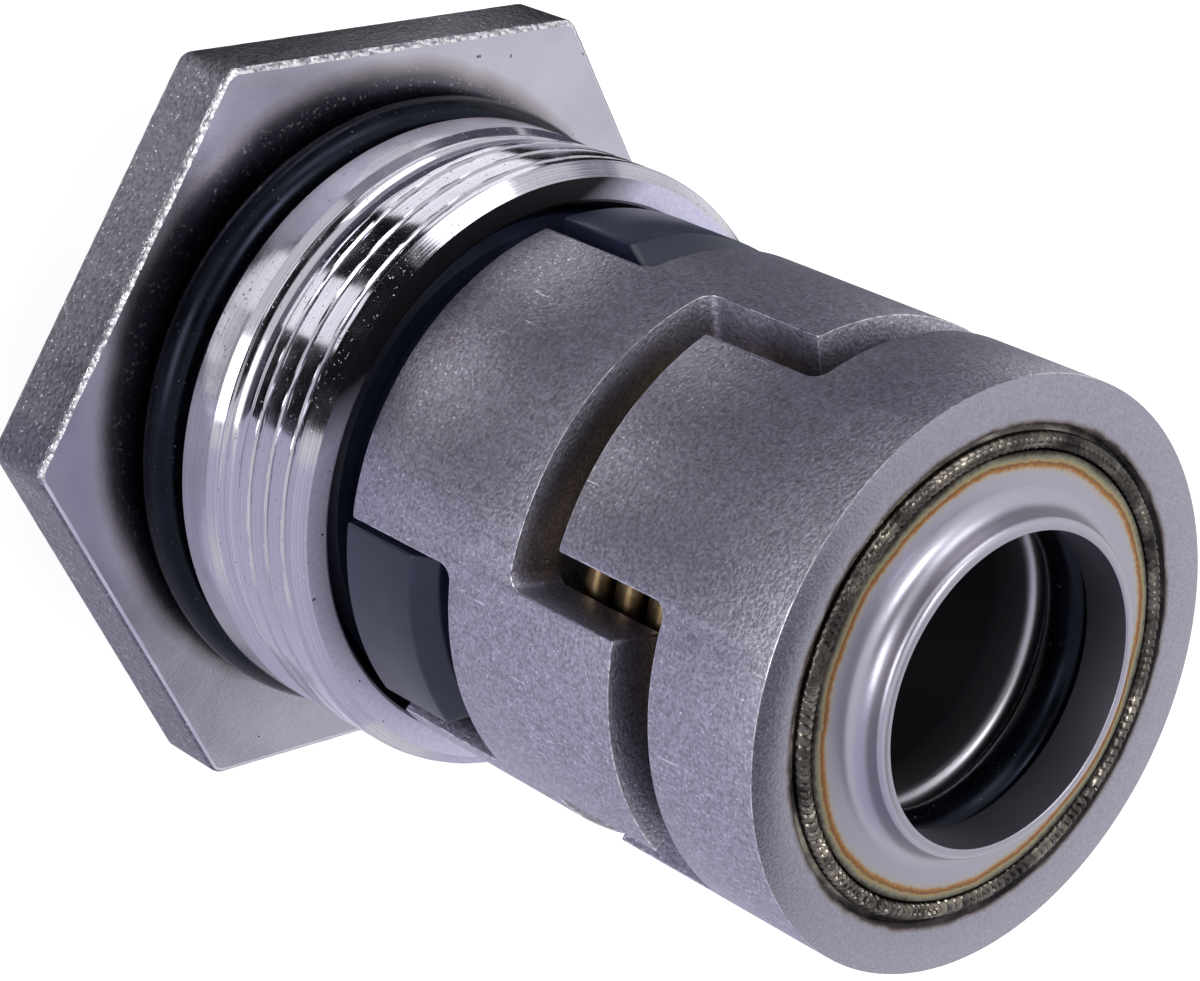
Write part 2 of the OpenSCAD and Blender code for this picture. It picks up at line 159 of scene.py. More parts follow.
# Investment-cast stainless as the mould leaves it, shot blasted: a grain of a quarter of a millimetre
# that glints on its high spots
cast_steel, tree, surface, place = start("cast_steel", 1.0)
grain = add(tree, "ShaderNodeTexNoise", {"Vector": place, "Scale": per(0.28), "Detail": 4}).outputs["Fac"]
broad = add(tree, "ShaderNodeTexNoise", {"Vector": place, "Scale": per(4), "Detail": 2}).outputs["Fac"]
glint = add(tree, "ShaderNodeTexNoise", {"Vector": place, "Scale": per(0.2), "Detail": 1}).outputs["Fac"]
shade = add(tree, "ShaderNodeValToRGB", {"Fac": grain}, [(0.3, "#5a5862"), (0.65, "#7a7882")])
spark = add(tree, "ShaderNodeMapRange", {"Value": glint, "From Min": 0.68, "From Max": 0.75})
mixed = add(tree, "ShaderNodeMix", {"Factor": spark.outputs["Result"], "A": shade.outputs["Color"],
                                    "B": tint("#c6c4cc")}, data_type="RGBA")
gloss = add(tree, "ShaderNodeMapRange", {"Value": glint, "From Min": 0.4, "From Max": 0.75,
                                         "To Min": 0.42, "To Max": 0.26})
swell = add(tree, "ShaderNodeBump", {"Height": broad, "Distance": 0.00015})
rough = add(tree, "ShaderNodeBump", {"Height": grain, "Distance": 0.00009,
                                     "Normal": swell.outputs["Normal"]})
plug(tree, surface, {"Base Color": mixed.outputs["Result"], "Roughness": gloss.outputs["Result"],
                     "Normal": rough.outputs["Normal"]})

# The same steel where two of the hexagon's front edges are knocked and rubbed: ragged, and painted bright as
# a glinting highlight on the two sides where the light catches them
worn_and_highlit_edge, tree, surface, place = start("worn_and_highlit_edge", 1.0)
chips = add(tree, "ShaderNodeTexNoise", {"Vector": place, "Scale": per(0.35), "Detail": 3}).outputs["Fac"]
shade = add(tree, "ShaderNodeValToRGB", {"Fac": chips}, [(0.36, "#83808a"), (0.58, "#e2e0e6")])
gloss = add(tree, "ShaderNodeMapRange", {"Value": chips, "From Min": 0.35, "From Max": 0.65,
                                         "To Min": 0.36, "To Max": 0.2})
rough = add(tree, "ShaderNodeBump", {"Height": chips, "Distance": 0.00009})
plug(tree, surface, {"Base Color": shade.outputs["Color"], "Roughness": gloss.outputs["Result"],
                     "Normal": rough.outputs["Normal"]})

# The hexagon's face, blasted finer and rubbed: soft satin with small dark pits. Round the O-ring a band is
# painted dark, some old grease but mostly painted shade, with a warm painted reflection at its edge; pale
# dust sticks there
face_steel, tree, surface, place = start("face_steel", 1.0)
cloud = add(tree, "ShaderNodeTexNoise", {"Vector": place, "Scale": per(6), "Detail": 3}).outputs["Fac"]
fine = add(tree, "ShaderNodeTexNoise", {"Vector": place, "Scale": per(0.2), "Detail": 3}).outputs["Fac"]
pit = add(tree, "ShaderNodeTexNoise", {"Vector": place, "Scale": per(0.7), "Detail": 2}).outputs["Fac"]
dust = add(tree, "ShaderNodeTexNoise", {"Vector": place, "Scale": per(0.2), "Detail": 1}).outputs["Fac"]
flat = add(tree, "ShaderNodeVectorMath", {0: place, 1: (1, 1, 0)}, operation="MULTIPLY")
# Painted shade round the O-ring over some grease, wider on one side, with a warm painted reflection at its
# edge
radius = add(tree, "ShaderNodeVectorMath", {0: flat.outputs["Vector"], 1: (0.00215, -0.00045, 0)},
             operation="DISTANCE")
wander = add(tree, "ShaderNodeMapRange", {"Value": cloud, "To Min": -0.0006, "To Max": 0.0006})
moved = add(tree, "ShaderNodeMath", {0: radius.outputs["Value"], 1: wander.outputs["Result"]},
            operation="ADD")
across = add(tree, "ShaderNodeMapRange", {"Value": moved.outputs["Value"],
                                          "From Min": 0.016, "From Max": 0.0186})
grease_and_painted_shade = add(tree, "ShaderNodeValToRGB", {"Fac": across.outputs["Result"]}, [
    (0.0, "#6a6976"), (0.3, "#75747f"), (0.5, "#908d8b"), (0.76, "#dcd7d1"), (1.0, "#ffffff")])
satin = add(tree, "ShaderNodeValToRGB", {"Fac": cloud}, [(0.35, "#b9b7c5"), (0.65, "#c8c6d4")])
pits = add(tree, "ShaderNodeMapRange", {"Value": pit, "From Min": 0.74, "From Max": 0.79})
marked = add(tree, "ShaderNodeMix", {"Factor": pits.outputs["Result"], "A": satin.outputs["Color"],
                                     "B": tint("#4d4240")}, data_type="RGBA")
greasy_and_shaded = add(tree, "ShaderNodeMix", {"Factor": 1.0, "A": marked.outputs["Result"],
                                     "B": grease_and_painted_shade.outputs["Color"]}, data_type="RGBA", blend_type="MULTIPLY")
specks = add(tree, "ShaderNodeMapRange", {"Value": dust, "From Min": 0.65, "From Max": 0.72})
near = add(tree, "ShaderNodeMapRange", {"Value": across.outputs["Result"], "From Min": 0.3, "From Max": 0.7,
                                        "To Min": 0.7, "To Max": 0.0})
stuck = add(tree, "ShaderNodeMath", {0: specks.outputs["Result"], 1: near.outputs["Result"]},
            operation="MULTIPLY")
dusted = add(tree, "ShaderNodeMix", {"Factor": stuck.outputs["Value"], "A": greasy_and_shaded.outputs["Result"],
                                     "B": tint("#dcd6cc")}, data_type="RGBA")
gloss = add(tree, "ShaderNodeMapRange", {"Value": cloud, "From Min": 0.3, "From Max": 0.7,
                                         "To Min": 0.21, "To Max": 0.28})
rough = add(tree, "ShaderNodeBump", {"Height": fine, "Distance": 0.000004})
plug(tree, surface, {"Base Color": dusted.outputs["Result"], "Roughness": gloss.outputs["Result"],
                     "Normal": rough.outputs["Normal"]})

# Bright turned stainless: mirror-like, with the tool's rings a tenth of a millimetre apart and tiny burrs
turned_steel, tree, surface, place = start("turned_steel", 1.0)
split = add(tree, "ShaderNodeSeparateXYZ", {"Vector": place})
flat = add(tree, "ShaderNodeVectorMath", {0: place, 1: (1, 1, 0)}, operation="MULTIPLY")
radius = add(tree, "ShaderNodeVectorMath", {0: flat.outputs["Vector"]}, operation="LENGTH")
rings = add(tree, "ShaderNodeCombineXYZ", {"X": radius.outputs["Value"], "Z": split.outputs["Z"]})
tool = add(tree, "ShaderNodeTexNoise", {"Vector": rings.outputs["Vector"], "Scale": per(0.12),
                                        "Detail": 3}).outputs["Fac"]
burr = add(tree, "ShaderNodeTexNoise", {"Vector": place, "Scale": per(0.2), "Detail": 2}).outputs["Fac"]
wave = add(tree, "ShaderNodeTexNoise", {"Vector": place, "Scale": per(1.5), "Detail": 2}).outputs["Fac"]
shade = add(tree, "ShaderNodeValToRGB", {"Fac": tool}, [(0.3, "#a9a7b2"), (0.7, "#c2c0cb")])
burrs = add(tree, "ShaderNodeMapRange", {"Value": burr, "From Min": 0.68, "From Max": 0.76})
gloss = add(tree, "ShaderNodeMapRange", {"Value": wave, "From Min": 0.3, "From Max": 0.7,
                                         "To Min": 0.08, "To Max": 0.17})
ringed = add(tree, "ShaderNodeBump", {"Height": tool, "Distance": 0.000003})
raised = add(tree, "ShaderNodeBump", {"Height": burrs.outputs["Result"], "Distance": 0.00003,
                                      "Normal": ringed.outputs["Normal"]})
plug(tree, surface, {"Base Color": shade.outputs["Color"], "Roughness": gloss.outputs["Result"],
                     "Normal": raised.outputs["Normal"]})

# The boss's end, skimmed satin, with dark pits, and one side of it painted dark as shade
skimmed_steel, tree, surface, place = start("skimmed_steel", 1.0)
skim = add(tree, "ShaderNodeTexNoise", {"Vector": place, "Scale": per(0.25), "Detail": 3}).outputs["Fac"]
pit = add(tree, "ShaderNodeTexNoise", {"Vector": place, "Scale": per(0.5), "Detail": 2}).outputs["Fac"]
shade = add(tree, "ShaderNodeValToRGB", {"Fac": skim}, [(0.3, "#d2d0ea"), (0.7, "#e4e2f8")])
pits = add(tree, "ShaderNodeMapRange", {"Value": pit, "From Min": 0.7, "From Max": 0.75})
marked = add(tree, "ShaderNodeMix", {"Factor": pits.outputs["Result"], "A": shade.outputs["Color"],
                                     "B": tint("#3a3438")}, data_type="RGBA")
# Painted shade: one side of the end face is darkened
side = add(tree, "ShaderNodeVectorMath", {0: place, 1: (0.84, -0.54, 0)}, operation="DOT_PRODUCT")
painted_shade_mask = add(tree, "ShaderNodeMapRange", {"Value": side.outputs["Value"],
                                        "From Min": 0.0108, "From Max": 0.0132})
shaded_one_side = add(tree, "ShaderNodeMix", {"Factor": painted_shade_mask.outputs["Result"], "A": marked.outputs["Result"],
                                   "B": tint("#2c2b30")}, data_type="RGBA")
plug(tree, surface, {"Base Color": shaded_one_side.outputs["Result"], "Roughness": 0.5})

# The seat's pocket: the same turned steel, painted dark and dull as the shade down in the pocket
pocket_shade_steel, tree, surface, place = start("pocket_shade_steel", 1.0)
painted_shade_mask = add(tree, "ShaderNodeTexNoise", {"Vector": place, "Scale": per(1.2), "Detail": 3}).outputs["Fac"]
shade = add(tree, "ShaderNodeValToRGB", {"Fac": painted_shade_mask}, [(0.3, "#19191d"), (0.7, "#28272d")])
plug(tree, surface, {"Base Color": shade.outputs["Color"], "Roughness": 0.45})

# The gland's sizes in millimetres, and in degrees the stretch of its rim that is worn and painted with a
# highlight
gland_low, gland_high = reach("hex_gland")
hex_bottom = gland_low.z
boss_end = gland_high.z
hex_thick = 4.6
hex_corner = 1.0
hex_edge = 0.26
hex_wear = 0.045
boss_r = 17.15
groove_r = 15.1
groove_wide = 3.75
groove_ease = 0.15
land_wide = 2.3
land_ease = 0.12
slope_long = 0.55
slope_drop = 0.55
relief_long = 2.3
relief_depth = 0.85
relief_step = 0.3
end_chamfer = 0.75
end_inner_r = 15.2
pocket_r = 14.05
pocket_deep = 8.55
mouth_r = 15.05
mouth_deep = 2.65
gland_bore_r = 9.7
thread_pitch = 1.5
thread_groove = 0.34
thread_half = 0.2
thread_phase = 0.1
thread_run_in = 1.2
skin_deep = 1.2
worn_highlit_from = -92
worn_highlit_to = 31
hex_top = hex_bottom + hex_thick
groove_top = hex_top + groove_wide
land_top = groove_top + land_wide
relief_start = land_top + slope_long
relief_end = relief_start + relief_long
pocket_floor = boss_end - pocket_deep


def boss_skin(z):
    """Radius of the boss, before the thread is cut, above the land."""
    half = (relief_end - relief_start) / 2
    arc = (half * half + relief_depth * relief_depth) / (2 * relief_depth)
    from_middle = abs(z - relief_start - half)
    if z < relief_start:
        return boss_r - slope_drop * (z - land_top)
    if from_middle < half:
        return min(boss_r - relief_step if z < relief_start + half else boss_r,
                   boss_r - relief_depth + arc - sqrt(arc * arc - from_middle * from_middle))
    return min(boss_r, boss_r - (z - boss_end + end_chamfer))


def thread_cut(angle, z):
    """Depth of the thread's groove at a place on the boss."""
    turns = z / thread_pitch - angle / (2 * pi) + thread_phase
    away = thread_pitch / 2 - abs(turns - floor(turns) - 0.5) * thread_pitch
    if away > thread_half:
        crest = (away - thread_pitch / 2) / thread_pitch
        return 0.05 * crest * crest + 0.008 * (1 + noise.noise(Vector((0.5 * angle * boss_r, 0.2 * z, 0))))
    return thread_groove * (1 - away / thread_half) + 0.01


bm = bmesh.new()
corner_at = (gland_high.x - gland_low.x) / 2 / cos(pi / 6)
corners = [(corner_at * cos(pi / 6 + k * pi / 3), corner_at * sin(pi / 6 + k * pi / 3), hex_corner)
           for k in range(6)]
verts, rim = draw(bm, rounded(corners, 8))
for vert in verts:
    vert.co = (vert.co.x, vert.co.z, hex_bottom)
long_edges = [edge for edge in rim if edge.calc_length() > 3]
bmesh.ops.subdivide_edges(bm, edges=long_edges, cuts=40)
bottom_rim = list(bm.edges)
grown = bmesh.ops.extrude_edge_only(bm, edges=bottom_rim)["geom"]
top_verts = [item for item in grown if isinstance(item, bmesh.types.BMVert)]
top_rim = [item for item in grown if isinstance(item, bmesh.types.BMEdge)]
bmesh.ops.translate(bm, verts=top_verts, vec=(0, 0, hex_top - hex_bottom))
rows = 150
boss_rows = [land_top + (boss_end - land_top) * k / rows for k in range(rows + 1)]
boss_outline = [(groove_r, hex_top), (groove_r, groove_top - groove_ease),
                (groove_r + groove_ease, groove_top), (boss_r - land_ease, groove_top),
                (boss_r, groove_top + land_ease)]
boss_outline += [(boss_skin(z), z) for z in boss_rows]
boss_outline += [(end_inner_r, boss_end), (mouth_r, boss_end - 0.1), (pocket_r, boss_end - mouth_deep),
                 (pocket_r, pocket_floor), (gland_bore_r, pocket_floor), (gland_bore_r, hex_bottom)]
turn(bm, boss_outline, closed=False, steps=288)
open_edges = [edge for edge in bm.edges if edge.is_boundary and edge not in set(top_rim + bottom_rim)]
at_top = [edge for edge in open_edges if edge.verts[0].co.z > hex_top - 0.1]
at_bottom = [edge for edge in open_edges if edge.verts[0].co.z < hex_top - 0.1]
bmesh.ops.bridge_loops(bm, edges=top_rim + at_top)
bmesh.ops.bridge_loops(bm, edges=bottom_rim + at_bottom)
for vert in bm.verts:
    r = hypot(vert.co.x, vert.co.y)
    if vert.co.z > relief_start + thread_run_in and r > boss_r - skin_deep:
        cut = thread_cut(atan2(vert.co.y, vert.co.x), vert.co.z)
        wanted = min(r, boss_r - cut)
        vert.co.x *= wanted / r
        vert.co.y *= wanted / r
bmesh.ops.recalc_face_normals(bm, faces=bm.faces)
eased = bmesh.ops.bevel(bm, geom=top_rim + bottom_rim, offset=hex_edge, segments=3, profile=0.5,
                        affect="EDGES", material=-1, clamp_overlap=False)
broken = set(eased["faces"])
for vert in {vert for face in broken for vert in face.verts}:
    dip = hex_wear * (1 + noise.noise(vert.co * 2.2))
    if hex_bottom + 0.01 < vert.co.z < hex_top - 0.01:
        vert.co.z += dip if vert.co.z < (hex_top + hex_bottom) / 2 else -dip
    else:
        vert.co.x *= 1 - dip / corner_at
        vert.co.y *= 1 - dip / corner_at
finishes = [cast_steel, face_steel, turned_steel, worn_and_highlit_edge, pocket_shade_steel, skimmed_steel]
for face in bm.faces:
    middle = face.calc_center_median()
    out = hypot(middle.x, middle.y)
    toward = degrees(atan2(middle.y, middle.x))
    # Two worn sides of the rim, towards the light, take the painted highlight
    if face in broken and middle.z > hex_bottom + 2 and worn_highlit_from < toward < worn_highlit_to:
        finish = worn_and_highlit_edge
    elif 15.1 < out < 16.35 and middle.z > boss_end - 0.15:
        finish = skimmed_steel
    elif out < boss_r + 0.1 and middle.z > hex_top + 0.05:
        finish = pocket_shade_steel if out < 15.15 and middle.z > groove_top else turned_steel
    else:
        finish = face_steel if abs(face.normal.z) > 0.9 else cast_steel
    face.material_index = finishes.index(finish)
piece("gland_casting", bm, "gland", ["hex_gland"], "cast_steel", *finishes, sharp=14)


# The gland's O-ring: black rubber, moulded, stretched into the groove in front of the hexagon.
# It has a soft bluish sheen and holds the dust of the workshop.


def ring_of_rubber(name, solid, body, segments=28):
    """A moulded O-ring in place of its solid."""
    low, high = reach(solid)
    cord = (high.z - low.z) / 2
    middle = high.x - cord
    bm = bmesh.new()
    outline = [(middle + cord * cos(2 * pi * k / segments), low.z + cord + cord * sin(2 * pi * k / segments))
               for k in range(segments)]
    turn(bm, outline)
    piece(name, bm, body, [solid], "rubber", rubber)


# Nitrile rubber off the mould: near black with a cold sheen, and grains of pale dust
rubber, tree, surface, place = start("rubber", 0.0)
dirt = add(tree, "ShaderNodeTexNoise", {"Vector": place, "Scale": per(0.2), "Detail": 2}).outputs["Fac"]
bloom = add(tree, "ShaderNodeTexNoise", {"Vector": place, "Scale": per(2), "Detail": 3}).outputs["Fac"]
black = add(tree, "ShaderNodeValToRGB", {"Fac": bloom}, [(0.35, "#040509"), (0.7, "#090b12")])
dust = add(tree, "ShaderNodeMapRange", {"Value": dirt, "From Min": 0.71, "From Max": 0.76, "To Max": 0.6})
mixed = add(tree, "ShaderNodeMix", {"Factor": dust.outputs["Result"], "A": black.outputs["Color"],
                                    "B": tint("#77797f")}, data_type="RGBA")
gloss = add(tree, "ShaderNodeMapRange", {"Value": bloom, "From Min": 0.3, "From Max": 0.7,
                                         "To Min": 0.2, "To Max": 0.34})
rough = add(tree, "ShaderNodeBump", {"Height": dust.outputs["Result"], "Distance": 0.00003})
plug(tree, surface, {"Base Color": mixed.outputs["Result"], "Roughness": gloss.outputs["Result"],
                     "Specular Tint": tint("#aebbe0"), "Specular IOR Level": 0.26,
                     "Normal": rough.outputs["Normal"]})

ring_of_rubber("gland_seal_ring", "gland_o_ring", "gland")
ring_of_rubber("seat_seal_ring", "seat_o_ring", "gland")


# The stationary seat and its pin lie in the gland's pocket. The seat is sintered silicon carbide,
# ground and lapped, and the pin is a plain steel dowel that stops it from turning.

# Silicon carbide, ground: dark slate, smooth, with a soft grey shine
seal_ceramic, tree, surface, place = start("seal_ceramic", 0.0)
vein = add(tree, "ShaderNodeTexNoise", {"Vector": place, "Scale": per(1.5), "Detail": 3}).outputs["Fac"]
fine = add(tree, "ShaderNodeTexNoise", {"Vector": place, "Scale": per(0.15), "Detail": 2}).outputs["Fac"]
slate = add(tree, "ShaderNodeValToRGB", {"Fac": vein}, [(0.3, "#1b2034"), (0.7, "#22273d")])
rough = add(tree, "ShaderNodeBump", {"Height": fine, "Distance": 0.000003})
plug(tree, surface, {"Base Color": slate.outputs["Color"], "Roughness": 0.34, "Specular IOR Level": 0.4,
                     "Normal": rough.outputs["Normal"]})

# Plain machined steel for what is inside or at the back, with the tool's rings a fifth of a millimetre wide
machined_steel, tree, surface, place = start("machined_steel", 1.0)
split = add(tree, "ShaderNodeSeparateXYZ", {"Vector": place})
flat = add(tree, "ShaderNodeVectorMath", {0: place, 1: (1, 1, 0)}, operation="MULTIPLY")
radius = add(tree, "ShaderNodeVectorMath", {0: flat.outputs["Vector"]}, operation="LENGTH")
rings = add(tree, "ShaderNodeCombineXYZ", {"X": radius.outputs["Value"], "Z": split.outputs["Z"]})
tool = add(tree, "ShaderNodeTexNoise", {"Vector": rings.outputs["Vector"], "Scale": per(0.2),
                                        "Detail": 3}).outputs["Fac"]
shade = add(tree, "ShaderNodeValToRGB", {"Fac": tool}, [(0.3, "#9c9aa3"), (0.7, "#b2b0b9")])
gloss = add(tree, "ShaderNodeMapRange", {"Value": tool, "From Min": 0.3, "From Max": 0.7,
                                         "To Min": 0.24, "To Max": 0.34})
rough = add(tree, "ShaderNodeBump", {"Height": tool, "Distance": 0.000008})
plug(tree, surface, {"Base Color": shade.outputs["Color"], "Roughness": gloss.outputs["Result"],
                     "Normal": rough.outputs["Normal"]})


def dress(solid, material):
    """Gives a solid that keeps its shape its finish."""
    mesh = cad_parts[solid].data
    mesh.materials.clear()
    mesh.materials.append(material)


dress("stationary_seat", seal_ceramic)
dress("seat_pin", machined_steel)


# The sleeve: a thin stainless tube on the pump shaft that carries everything that turns.
# Its mouth is rolled round and shines behind the O-ring.

# Drawn tube, painted darker down in the bore as shade, and softly bright at its rolled mouth
tube_steel, tree, surface, place = start("tube_steel", 1.0)
split = add(tree, "ShaderNodeSeparateXYZ", {"Vector": place})
# Painted shade: darker down the bore
painted_bore_shade = add(tree, "ShaderNodeMapRange", {"Value": split.outputs["Z"], "From Min": 0.053, "From Max": 0.0555})
shade = add(tree, "ShaderNodeValToRGB", {"Fac": painted_bore_shade.outputs["Result"]}, [(0.0, "#7d7b84"), (1.0, "#b9b7bf")])
drawn = add(tree, "ShaderNodeTexNoise", {"Vector": place, "Scale": per(0.5), "Detail": 3}).outputs["Fac"]
rough = add(tree, "ShaderNodeBump", {"Height": drawn, "Distance": 0.000006})
plug(tree, surface, {"Base Color": shade.outputs["Color"], "Roughness": 0.42,
                     "Normal": rough.outputs["Normal"]})

dress("shaft_sleeve", tube_steel)


# The clamp collar grips the sleeve behind the hexagon. It is turned from bar, with three
# hexagon socket screws through it and a spring-steel retaining ring in its end.

dress("clamp_collar", machined_steel)
dress("retaining_ring", machined_steel)
for k in (1, 2, 3):
    dress(f"set_screw_{k}", machined_steel)


# The rotating seal ring: the same silicon carbide, with a narrow lapped face that runs on the seat
# and three lugs, chamfered at their top edge, that the carrier's notches drive.


def swept(outline, from_turn, to_turn, edge=0.14, steps=24):
    """A closed piece of a ring: a (radius, height) section carried from one angle to another, edges eased."""
    bm = bmesh.new()
    verts, edges = draw(bm, outline)
    begin = Quaternion((0, 0, 1), radians(from_turn)).to_matrix()
    bmesh.ops.rotate(bm, verts=verts, cent=(0, 0, 0), matrix=begin)
    bmesh.ops.spin(bm, geom=verts + edges, cent=(0, 0, 0), axis=(0, 0, 1),
                   angle=radians(to_turn - from_turn), steps=steps)
    bmesh.ops.holes_fill(bm, edges=[e for e in bm.edges if e.is_boundary], sides=0)
    bmesh.ops.recalc_face_normals(bm, faces=bm.faces)
    rims = [e for e in bm.edges if len(e.link_faces) == 2 and e.calc_face_angle(0) > radians(25)]
    bmesh.ops.bevel(bm, geom=rims, offset=edge, segments=3, profile=0.5, affect="EDGES",
                    material=-1, clamp_overlap=True)
    return bm


ring_low, ring_high = reach("rotating_ring")
carrier_low, carrier_high = reach("ring_carrier")
notch_turn = 48.4
lug_turn = notch_turn - 2
lug_half = 20.25
lug_from = lug_turn - lug_half
lug_to = lug_turn + lug_half
lug_low = carrier_low.z - 0.45
lug_high = lug_low + 6.35
lug_chamfer = 1.1
lug_r = 15.2
lug_root_r = 11.6
ring_r = 12.6
ring_face_r = 10.5
ring_bore_r = 9.35
ring_nose = ring_low.z + 1.2
cord_seat_r = 11.4
cord_seat = ring_high.z - 3.5
bm = bmesh.new()
turn(bm, rounded([(ring_face_r, ring_low.z, 0.1), (ring_r, ring_low.z, 0.2), (ring_r, ring_high.z, 0.2),
                  (cord_seat_r, ring_high.z, 0.2), (cord_seat_r, cord_seat), (ring_bore_r, cord_seat),
                  (ring_bore_r, ring_nose), (ring_face_r, ring_nose)]))
lug_mesh = bpy.data.meshes.new("lug")
lug_outline = [(lug_root_r, lug_low), (lug_r, lug_low), (lug_r, lug_high - lug_chamfer),
               (lug_r - lug_chamfer, lug_high), (lug_root_r, lug_high)]
for k in range(3):
    lug = swept(lug_outline, lug_from + 120 * k, lug_to + 120 * k)
    lug.to_mesh(lug_mesh)
    lug.free()
    bm.from_mesh(lug_mesh)
bpy.data.meshes.remove(lug_mesh)
piece("rotating_seal_ring", bm, "carrier", ["rotating_ring"], "seal_ceramic", seal_ceramic, sharp=50)
ring_of_rubber("ring_seal_ring", "ring_o_ring", "carrier")


# The carrier: a ring of sintered stainless steel with three notches at each end. The lower ones
# drive the seal ring's lugs, the upper ones mesh with the housing, and its web carries the spring.

# Sintered and tumbled stainless: matt, with a grain of a fifth of a millimetre, bright specks and
# fine slanted scratches
sintered_steel, tree, surface, place = start("sintered_steel", 1.0)
grain = add(tree, "ShaderNodeTexNoise", {"Vector": place, "Scale": per(0.2), "Detail": 3}).outputs["Fac"]
mottle = add(tree, "ShaderNodeTexNoise", {"Vector": place, "Scale": per(0.6), "Detail": 3}).outputs["Fac"]
fleck = add(tree, "ShaderNodeTexNoise", {"Vector": place, "Scale": per(0.17), "Detail": 1}).outputs["Fac"]
slanted = add(tree, "ShaderNodeMapping", {"Vector": place, "Rotation": (0.7, 0.5, 0.3),
                                          "Scale": (1, 1, 0.09)})
score = add(tree, "ShaderNodeTexNoise", {"Vector": slanted.outputs["Vector"], "Scale": per(0.24),
                                         "Detail": 1}).outputs["Fac"]
shade = add(tree, "ShaderNodeValToRGB", {"Fac": grain}, [(0.3, "#8d8a98"), (0.7, "#bfbdcb")])
patch = add(tree, "ShaderNodeValToRGB", {"Fac": mottle}, [(0.3, "#eae5e4"), (0.7, "#ffffff")])
toned = add(tree, "ShaderNodeMix", {"Factor": 1.0, "A": shade.outputs["Color"], "B": patch.outputs["Color"]},
            data_type="RGBA", blend_type="MULTIPLY")
flecks = add(tree, "ShaderNodeMapRange", {"Value": fleck, "From Min": 0.65, "From Max": 0.75})
scores = add(tree, "ShaderNodeMapRange", {"Value": score, "From Min": 0.74, "From Max": 0.78})
bright = add(tree, "ShaderNodeMath", {0: flecks.outputs["Result"], 1: scores.outputs["Result"]},
             operation="MAXIMUM").outputs["Value"]
mixed = add(tree, "ShaderNodeMix", {"Factor": bright, "A": toned.outputs["Result"], "B": tint("#e0dee6")},
            data_type="RGBA")
gloss = add(tree, "ShaderNodeMapRange", {"Value": bright, "To Min": 0.42, "To Max": 0.26})
swell = add(tree, "ShaderNodeBump", {"Height": mottle, "Distance": 0.00002})
rough = add(tree, "ShaderNodeBump", {"Height": grain, "Distance": 0.000035,
                                     "Normal": swell.outputs["Normal"]})
plug(tree, surface, {"Base Color": mixed.outputs["Result"], "Roughness": gloss.outputs["Result"],
                     "Normal": rough.outputs["Normal"]})

driver_r = carrier_high.x
driver_wall = 3.25
tooth_turn = -12.7
tooth_half = 24.85
side_gap = 10.5
notch_corner = 0.8
tooth_corner = 0.2
carrier_floor = carrier_high.z - 7.75
lug_floor = carrier_low.z + 8.0
web_top = carrier_floor - 0.3
web_bottom = web_top - 2.1
web_bore_r = 9.1
web_r = 12.6
notch_half = tooth_half + side_gap
low_half = 23.75
cut_edge = 0.07
wall_columns = 240


def castellated(tops, bottoms, span_from, span_to):
    """Outline of a strip from (degrees, height, radius) points along its top and its bottom edge."""
    repeats = range(-1, 4)
    above = [(d + 120 * k, h, r) for k in repeats for d, h, r in tops]
    below = [(d + 120 * k, h, r) for k in repeats for d, h, r in bottoms]
    above = [p for p in above if span_from < p[0] < span_to]
    below = [p for p in below if span_from < p[0] < span_to]
    return ([(span_from, below[0][1], 0)] + below + [(span_to, below[-1][1], 0)]
            + [(span_to, above[-1][1], 0)] + above[::-1] + [(span_from, above[0][1], 0)])


def rolled_wall(outline, r_out, wall, edge, columns):
    """Cuts a wall from a flat strip, drawn along X with its outside towards -Y, and eases its edges.

    The outline holds (degrees, height, corner radius in millimetres). The eased edges get the second
    material.
    """
    bm = bmesh.new()
    flat = [(radians(at) * r_out, height, radius) for at, height, radius in outline]
    verts, edges = draw(bm, rounded(flat, 5))
    front = bm.faces.new(verts)
    grown = bmesh.ops.extrude_face_region(bm, geom=[front], use_keep_orig=True)["geom"]
    back = [item for item in grown if isinstance(item, bmesh.types.BMVert)]
    bmesh.ops.translate(bm, verts=back, vec=(0, wall, 0))
    bmesh.ops.recalc_face_normals(bm, faces=bm.faces)
    rims = [e for e in bm.edges if len(e.link_faces) == 2 and e.calc_face_angle(0) > radians(30)]
    eased = bmesh.ops.bevel(bm, geom=rims, offset=edge, segments=2, profile=0.5, affect="EDGES",
                            material=-1, clamp_overlap=True)
    # Outer eased edges take the second material: rubbed bright, with a painted edge highlight
    for face in eased["faces"]:
        if face.calc_center_median().y < edge:
            face.material_index = 1
    for limit, side in ((0, -1), (2 * pi * r_out, 1)):
        bmesh.ops.bisect_plane(bm, geom=bm.verts[:] + bm.edges[:] + bm.faces[:],
                               plane_co=(limit, 0, 0), plane_no=(side, 0, 0), clear_outer=True)
    for k in range(1, columns):
        bmesh.ops.bisect_plane(bm, geom=bm.verts[:] + bm.edges[:] + bm.faces[:],
                               plane_co=(2 * pi * r_out * k / columns, 0, 0), plane_no=(1, 0, 0))
    return bm


def roll(bm, r_out):
    """Bends a flat wall round the shaft axis and joins its ends."""
    for vert in bm.verts:
        angle = vert.co.x / r_out
        r = r_out - vert.co.y
        vert.co = (r * cos(angle), r * sin(angle), vert.co.z)
    bmesh.ops.remove_doubles(bm, verts=bm.verts, dist=0.002)


